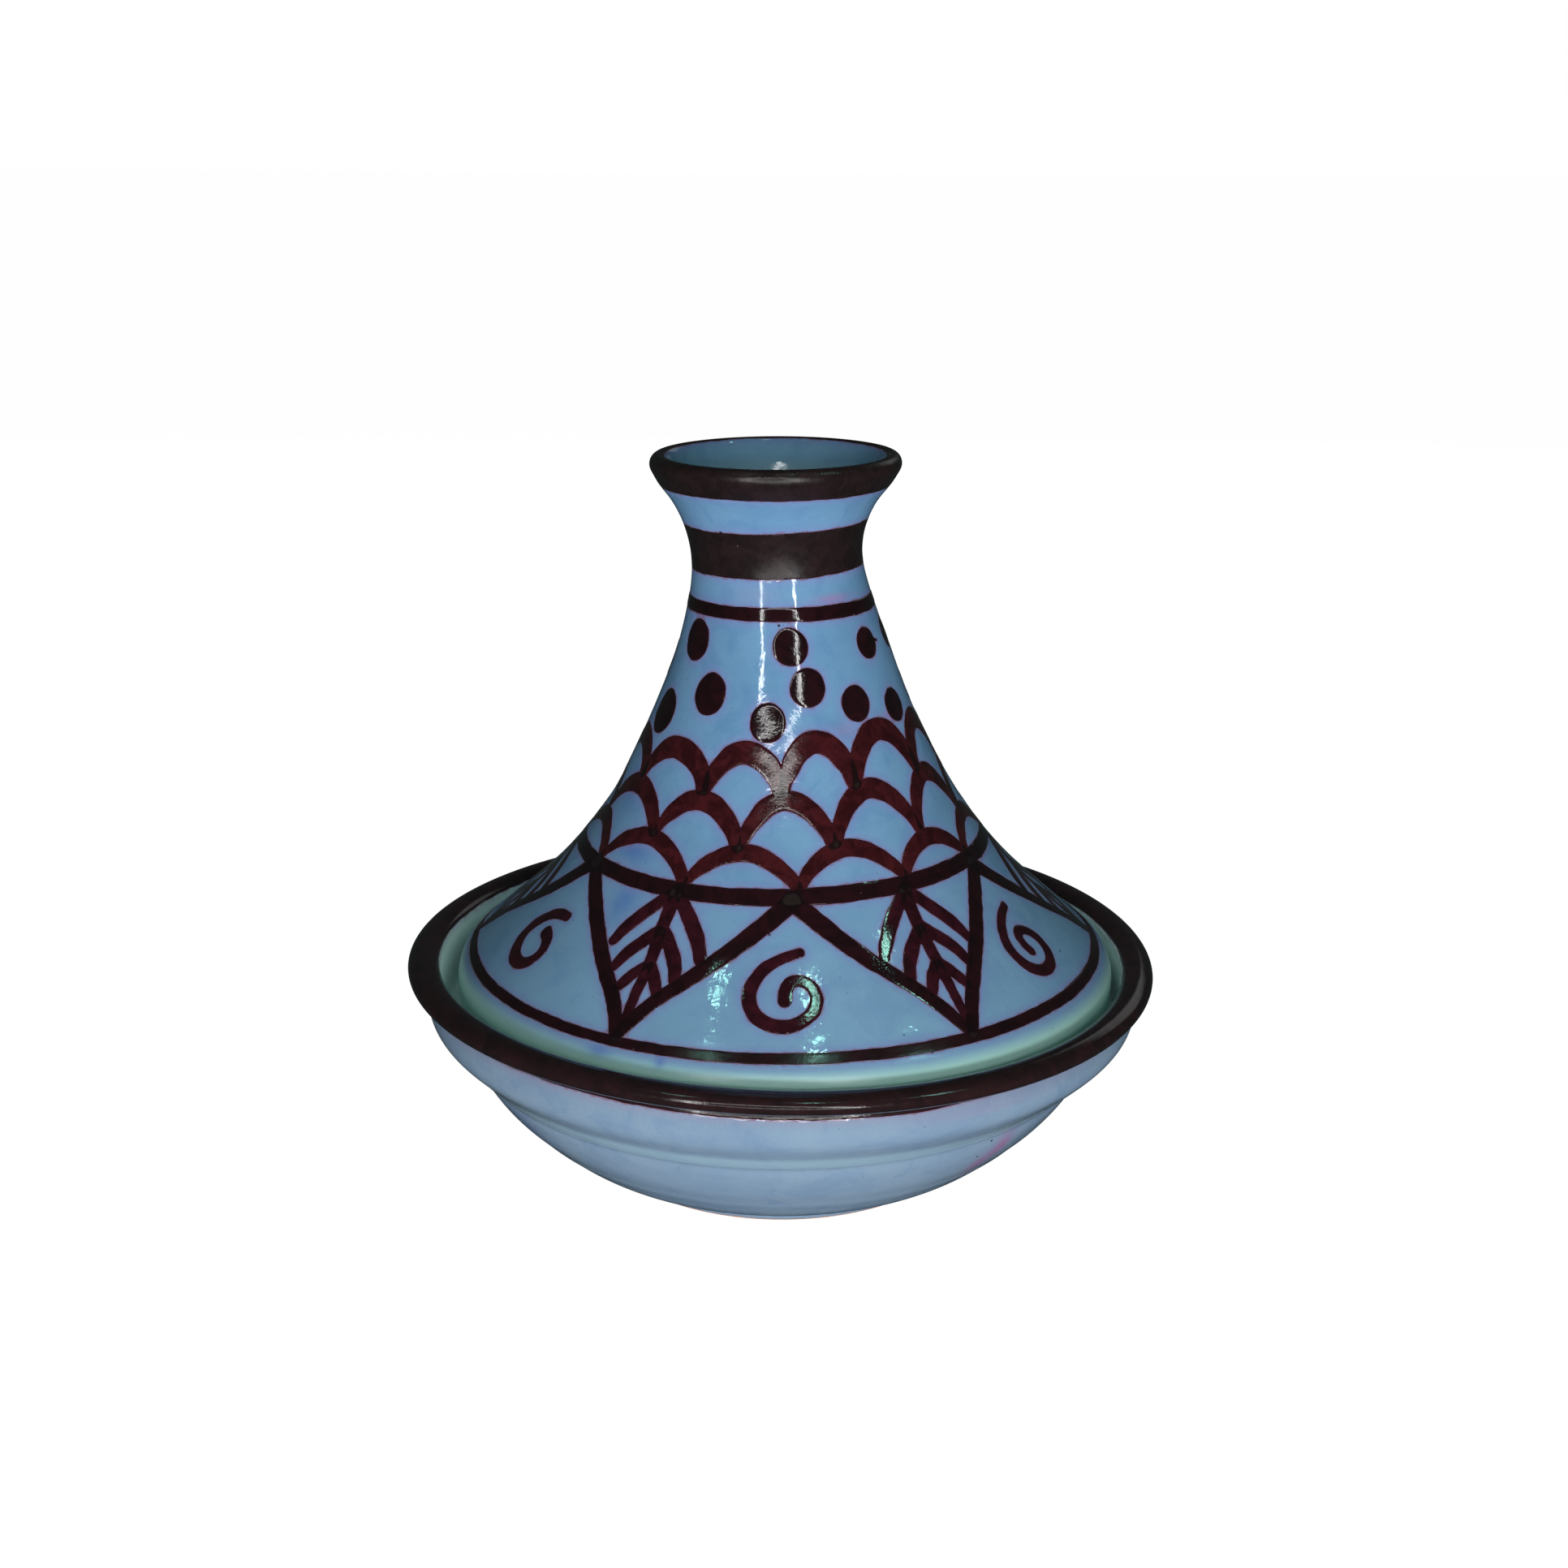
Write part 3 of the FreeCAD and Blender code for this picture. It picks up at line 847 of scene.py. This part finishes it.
def lid_painted_light(angle, along):
    """How much painted light lightens the lid's glaze: near the hem, most of all on the front, and inside
    the cup.
    """
    # Painted light: the lower slope is lighter the more it faces the camera.
    front = 0.35 + 0.65 * np.cos(np.radians(angle))
    slope = 0.20 * (1 - smooth_step(along, 12, 95)) * front
    # Painted light inside the cup.
    cup = 0.9 * smooth_step(along, 168, 176)
    return slope + 0.06 * (1 - smooth_step(along, 3, 9)) + cup


def lid_satin(angle, along):
    """How dull the lid's glaze is: at its lower edge, and further up on the left half."""
    return 1 - smooth_step(along - 5 * (angle < 0), 4.5, 8)


def build_lid():
    wall = lid_wall()
    marks, neck = lid_marks(wall), neck_marks(wall)
    first, last = wall.ends
    rows = rows_between([(first, -30, 2.0), (-30, -14, 1.0), (-14, 170, 0.6), (170, last, 1.2)])
    points, faces, places = lathe(wall, rows, SKIN_COLUMNS)
    edge = marks.sample(marks.distance(), places, NO_MARK)
    edge = np.minimum(edge, neck.sample(neck.distance(), places, NO_MARK))
    angle, along = places.T
    attributes = {
        "edge": edge,
        "bare": 1 - smooth_step(np.abs(along + 13.6), 1.6, 3.2),
        "pool_and_painted_reflection": lid_pool_and_reflection(along),
        "painted_light": lid_painted_light(angle, along),
        "satin": lid_satin(angle, along),
        "deep": spots(
            places,
            (
                (-50, 56.5, 7, 3, 0.5),
                (-66, 70, 6, 7, 0.35),
                (-44, 44, 4, 6, 0.45),
                (-31, 4.4, 3.4, 1.8, 0.8),
                (-20, 4.8, 1.2, 2.0, 0.8),
                (150, 30, 12, 8, 0.3),
                (200, 75, 10, 7, 0.3),
            ),
            wall,
        ),
        "blush": spots(
            places,
            (
                (35, 124.2, 5, 1.2, 0.55),
                (28, 91.5, 4, 2.0, 0.25),
                (54, 92.6, 3, 1.6, 0.5),
                (-15, 126, 6, 2, 0.15),
                (180, 100, 8, 3, 0.3),
            ),
            wall,
        ),
    }
    material = glaze(
        "lid_blue_glaze",
        light=srgb(98, 137, 167),
        main=srgb(89, 128, 159),
        deep=srgb(76, 113, 152),
        lavender=srgb(106, 116, 164),
        # This colour is also that of a painted reflection and painted light on the lid's edge.
        pool_and_reflection_colour=srgb(152, 194, 178),
    )
    piece = new_object("glazed_lid", points, faces, "lid", material, attributes)
    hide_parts("conical_lid")
    black = srgb(16, 9, 11)
    darkest, dark_thin = srgb(22, 9, 12), srgb(34, 12, 16)
    dark = paint("lid_dark_brushwork", darkest, dark_thin, black, (0.05, 0.09))
    hem = paint("lid_hem_brushwork", darkest, dark_thin, black, (0.14, 0.22))
    red = paint("lid_red_brushwork", srgb(40, 10, 13), srgb(60, 19, 23), black, (0.08, 0.13))
    leaf = paint("lid_leaf_brushwork", srgb(32, 9, 15), srgb(50, 15, 24), black, (0.05, 0.09))
    layers = [
        ("hem_ring", "lid_hem_ring", hem),
        ("swirls", "lid_swirls", leaf),
        ("leaf_sprays", "lid_leaf_sprays", leaf),
        ("zigzag", "lid_zigzag", dark),
        ("scallops_low", "lid_scallops_low", red),
        ("middle_ring", "lid_middle_ring", dark),
        ("scallops_middle", "lid_scallops_middle", red),
        ("scallops_top", "lid_scallops_top", red),
        ("dots", "lid_dots", dark),
        ("shoulder_line", "lid_shoulder_line", dark),
    ]
    add_films(marks, layers, "lid")
    bands = paint("lid_bands", srgb(27, 17, 17), srgb(36, 22, 23), srgb(18, 12, 13), (0.24, 0.33))
    layers = [("neck_band", "lid_neck_band", bands), ("cup_rim_band", "lid_cup_rim_band", bands)]
    add_films(neck, layers, "lid")


def build_dish():
    wall = dish_wall()
    marks = lip_marks(wall)
    first, last = wall.ends
    rows = rows_between([(first, -72, 1.6), (-72, 62, 0.6), (62, last, 1.2)])
    points, faces, places = lathe(wall, rows, SKIN_COLUMNS)
    heights = points[:, 2] / MM
    radii = np.hypot(points[:, 0], points[:, 1]) / MM
    along = places[:, 1]
    outside = along < 20
    foot = outside * (1 - smooth_step(heights, 0.2, 1.2)) * smooth_step(radii, 40, 42)
    ledge = (~outside) * smooth_step(heights, 40, 41.3) * (1 - smooth_step(heights, 42.4, 43.6))
    ledge = ledge * smooth_step(radii, 80, 81.5) * (1 - smooth_step(radii, 84.5, 86.5))
    attributes = {
        "edge": marks.sample(marks.distance(), places, NO_MARK),
        "bare": np.maximum(foot, ledge * 0.72),
        # Green glaze pooled in the gallery and inside the dish, its colour made pale partly as painted
        # light for the shaded gallery.
        "pool_and_painted_reflection": smooth_step(along, 40, 43) * (1 - 0.6 * smooth_step(along, 62, 90)),
        # Painted light: a paler band on the gallery wall just above the crease, where the wall faces down
        # into shade.
        "painted_light": 0.6 * smooth_step(along, 0.3, 2.0) * (1 - smooth_step(along, 5.5, 9.5)),
        "satin": 0.8 * smooth_step(along, 40, 46),
        "deep": spots(
            places,
            (
                (-55, -8, 10, 6, 0.25),
                (150, -20, 14, 8, 0.25),
                (-140, 5, 10, 5, 0.25),
            ),
            wall,
        ),
        "blush": spots(
            places,
            (
                (43, -6, 3, 5, 0.7),
                (40, -13, 3, 5, 0.6),
                (50, -22, 9, 4, 0.2),
                (30, 21, 20, 1.6, 0.15),
                (-100, -5, 6, 4, 0.4),
            ),
            wall,
        ),
    }
    material = glaze(
        "dish_blue_glaze",
        light=srgb(118, 139, 156),
        main=srgb(110, 132, 152),
        deep=srgb(93, 118, 146),
        lavender=srgb(126, 122, 146),
        # This pool colour is pale partly as painted light in the shaded gallery.
        pool_and_reflection_colour=srgb(200, 232, 230),
    )
    piece = new_object("glazed_dish", points, faces, "dish", material, attributes)
    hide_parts("base_dish")
    lip = paint("dish_lip_colour", srgb(28, 18, 19), srgb(40, 22, 24), srgb(18, 12, 14), (0.10, 0.18))
    add_films(marks, [("lip_band", "dish_lip_band", lip)], "dish")


# ---------------------------------------------------------------- studio

CAMERA_PLACE = (0.0005, -0.5374, 0.2630)
CAMERA_PITCH = 0.2903
CAMERA_ROLL = 0.0049
CAMERA_LENS = 48.45
BACKDROP = 1.0  # brightness of everything behind the pot
FLOOR_GLOW = 0.988  # with the light that falls on it, the floor is as bright as the backdrop
ROOM = (0.024, 0.034, 0.034)  # what the pot mirrors where there is no light
TABLE = (0.97, 0.99, 1.08)  # light that a white table sends up
LIGHT_CENTRE = Vector((0, 0, 0.10))  # the lights stand on spheres round this point

# (azimuth, elevation) of the corners of the window, and the (width, brightness) of its strips
WINDOW = ((-23.5, -1.2), (-24, 27), (-1, 35), (15.5, 27), (21.5, 0.8))
WINDOW_STRIPS = ((0.05, 20), (0.028, 16), (0.028, 16), (0.05, 20), (0.02, 15))
COOL = (0.42, 1.0, 0.84)
COOL_LIGHTS = (  # name, azimuths and elevations of the ends, width, brightness
    ("high_left", (-51, -46.5), (65.8, 66.7), 0.035, 38),
    ("high_right", (65.4, 66.5), (51, 56.5), 0.04, 30),
    ("high_front", (18, 28), (70.4, 70.4), 0.04, 30),
)
KEY_LIGHTS = (  # name, distance in front, height, brightness, mirrored
    ("key", 0.62, 0.115, 8, False),
    ("flash", 0.59, 0.25, 14, False),
    ("key_glint", 0.62, 0.115, 24, True),
)


def towards(azimuth, elevation, distance):
    """A place seen from the pot at this azimuth (0 is the camera's side) and elevation, in degrees."""
    azimuth, elevation = math.radians(azimuth), math.radians(elevation)
    level = math.cos(elevation)
    way = Vector((math.sin(azimuth) * level, -math.cos(azimuth) * level, math.sin(elevation)))
    return LIGHT_CENTRE + way * distance


def add_camera():
    data = bpy.data.cameras.new("camera")
    data.sensor_width = 36.0
    data.lens = CAMERA_LENS
    data.clip_start, data.clip_end = 0.01, 40.0
    camera = bpy.data.objects.new("camera", data)
    bpy.context.scene.collection.objects.link(camera)
    camera.location = CAMERA_PLACE
    camera.rotation_euler = (math.pi / 2 - CAMERA_PITCH, 0.0, 0.0)
    camera.rotation_euler.rotate_axis("Z", CAMERA_ROLL)
    bpy.context.scene.camera = camera


def add_strip(name, start, end, width, brightness, colour=(1.0, 1.0, 1.0), mirrored=True):
    """A flat light from one place to another, facing the pot. brightness is its radiance."""
    middle, along = (start + end) / 2, end - start
    data = bpy.data.lights.new(name, "AREA")
    data.shape = "RECTANGLE"
    data.size, data.size_y = along.length, width
    data.energy = brightness * math.pi * along.length * width
    data.color = colour
    light = bpy.data.objects.new(name, data)
    bpy.context.scene.collection.objects.link(light)
    backwards = (middle - LIGHT_CENTRE).normalized()
    side = along.normalized()
    side = (side - backwards * side.dot(backwards)).normalized()
    facing = Matrix((side, backwards.cross(side), backwards)).transposed()
    light.matrix_world = Matrix.Translation(middle) @ facing.to_4x4()
    light.visible_camera = False
    light.visible_glossy = mirrored


def add_world():
    """White behind the pot, a dim greenish room in its reflections, and soft light up from the table."""
    world = bpy.data.worlds.new("studio")
    bpy.context.scene.world = world
    world.use_nodes = True
    tree = world.node_tree
    tree.nodes.clear()

    def choose(factor, when_off, when_on):
        node = tree.nodes.new("ShaderNodeMixShader")
        for socket, source in zip(node.inputs, (factor, when_off, when_on)):
            tree.links.new(source, socket)
        return node.outputs[0]

    def glow(red, green, blue):
        node = tree.nodes.new("ShaderNodeBackground")
        node.inputs["Color"].default_value = (red, green, blue, 1.0)
        return node.outputs[0]

    ray = tree.nodes.new("ShaderNodeLightPath").outputs
    direction = tree.nodes.new("ShaderNodeTexCoord").outputs["Generated"]
    parts = tree.nodes.new("ShaderNodeSeparateXYZ")
    tree.links.new(direction, parts.inputs[0])
    below = tree.nodes.new("ShaderNodeMath")
    below.operation = "LESS_THAN"
    below.inputs[1].default_value = 0.0
    tree.links.new(parts.outputs["Z"], below.inputs[0])
    table = tree.nodes.new("ShaderNodeMath")
    table.operation = "MULTIPLY"
    tree.links.new(below.outputs[0], table.inputs[0])
    tree.links.new(ray["Is Diffuse Ray"], table.inputs[1])
    room = choose(table.outputs[0], glow(*ROOM), glow(*TABLE))
    seen = choose(ray["Is Camera Ray"], room, glow(BACKDROP, BACKDROP, BACKDROP))
    output = tree.nodes.new("ShaderNodeOutputWorld")
    tree.links.new(seen, output.inputs["Surface"])


def add_floor():
    bpy.ops.mesh.primitive_plane_add(size=60, location=(0, 0, 0))
    floor = bpy.context.object
    floor.name = "floor"
    nodes = Nodes("pale_floor")
    patches = nodes.between(nodes.noise(300, 2), 0.3, 0.7)
    tone = nodes.mix(patches, (0.04, 0.04, 0.04, 1), (0.05, 0.05, 0.05, 1))
    nodes.link(tone, nodes.shader.inputs["Base Color"])
    nodes.shader.inputs["Roughness"].default_value = 0.9
    nodes.shader.inputs["Specular IOR Level"].default_value = 0.1
    nodes.shader.inputs["Emission Color"].default_value = (1, 1, 1, 1)
    nodes.shader.inputs["Emission Strength"].default_value = FLOOR_GLOW
    floor.data.materials.append(nodes.material)
    floor.visible_glossy = False
    floor.visible_diffuse = False


def add_lights():
    far = 1.2
    window = [towards(*corner, far) for corner in WINDOW]
    for number, (start, end) in enumerate(zip(window, window[1:] + window[:1])):
        add_strip(f"window_{number}", start, end, *WINDOW_STRIPS[number])
    for name, azimuths, elevations, width, brightness in COOL_LIGHTS:
        start, end = (towards(*ends, far) for ends in zip(azimuths, elevations))
        add_strip(name, start, end, width, brightness, COOL)
    for name, near, height, brightness, mirrored in KEY_LIGHTS:
        left, right = Vector((-0.09, -near, height)), Vector((0.23, -near, height))
        add_strip(name, left, right, 0.06, brightness, mirrored=mirrored)
    overhead = towards(0, 80, 1.4), towards(180, 80, 1.4)
    add_strip("overhead", *overhead, 0.5, 0.8, (0.8, 1.0, 0.93), mirrored=False)
    add_strip("behind", towards(135, 26, 1.5), towards(160, 26, 1.5), 0.4, 0.4)
    add_strip("back_fill", towards(165, 12, 1.5), towards(195, 12, 1.5), 0.4, 16, mirrored=False)


def add_studio():
    add_world()
    add_floor()
    add_lights()
    bpy.context.scene.view_settings.view_transform = "Standard"


add_camera()
build_dish()
build_lid()
add_studio()
